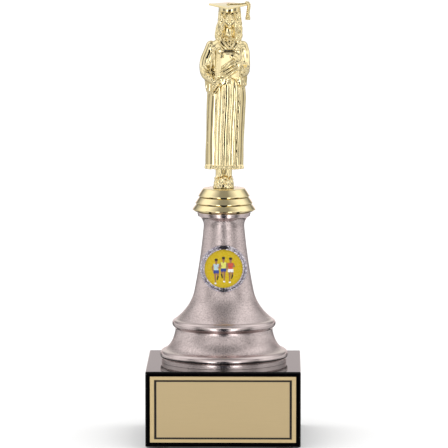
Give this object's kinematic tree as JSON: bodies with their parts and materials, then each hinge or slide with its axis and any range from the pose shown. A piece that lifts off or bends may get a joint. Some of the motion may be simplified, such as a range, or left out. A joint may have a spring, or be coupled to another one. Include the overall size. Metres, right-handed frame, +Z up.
{
  "type": "graduation trophy",
  "caption": "Graduation trophy: a robed graduate figure with cap and tassel on a stepped gold base, a bell-shaped silver riser with a round insert, and a black stone block.",
  "frame": {"origin": "on the table, under the middle of the stone block", "axes": "+Z up, -Y towards the front with the engraving plate, +X to the viewer's right"},
  "size_m": [0.0888, 0.0895, 0.2528],
  "materials": {
    "stone": "polished black marble with faint grey veins",
    "felt": "dark felt",
    "plate": "satin gold-coloured engraving plate with a black printed border",
    "film": "translucent adhesive film",
    "pewter": "satin pewter-silver metallised finish with a fine sandy grain",
    "wreath": "antique silver metallised relief",
    "print": "yellow printed disc under clear gloss",
    "gold": "bright pale gold metallised plastic",
    "steel": "zinc-plated steel"
  },
  "bodies": {
    "base": {"marble_block": "stone", "felt_pads": "felt", "engraving_plate": "plate", "plate_adhesive": "film"},
    "riser": {"riser_shell": "pewter", "wreath_bezel": "wreath", "insert_disc": "print", "insert_adhesive": "film"},
    "figure": {"figure_base": "gold", "figure_front": "gold", "figure_back": "gold", "cap_board": "gold", "tassel": "gold", "captive_nut": "steel", "tie_rod": "steel", "flat_washer": "steel", "lock_washer": "steel", "bottom_nut": "steel"}
  },
  "joints": [
    {"name": "riser_turn", "type": "hinge", "parent": "base", "child": "riser", "pos_m": [0, 0, 0.0445], "axis": [0, 0, 1], "continuous": true},
    {"name": "figure_turn", "type": "hinge", "parent": "riser", "child": "figure", "pos_m": [0, 0, 0.132], "axis": [0, 0, 1], "continuous": true}
  ]
}
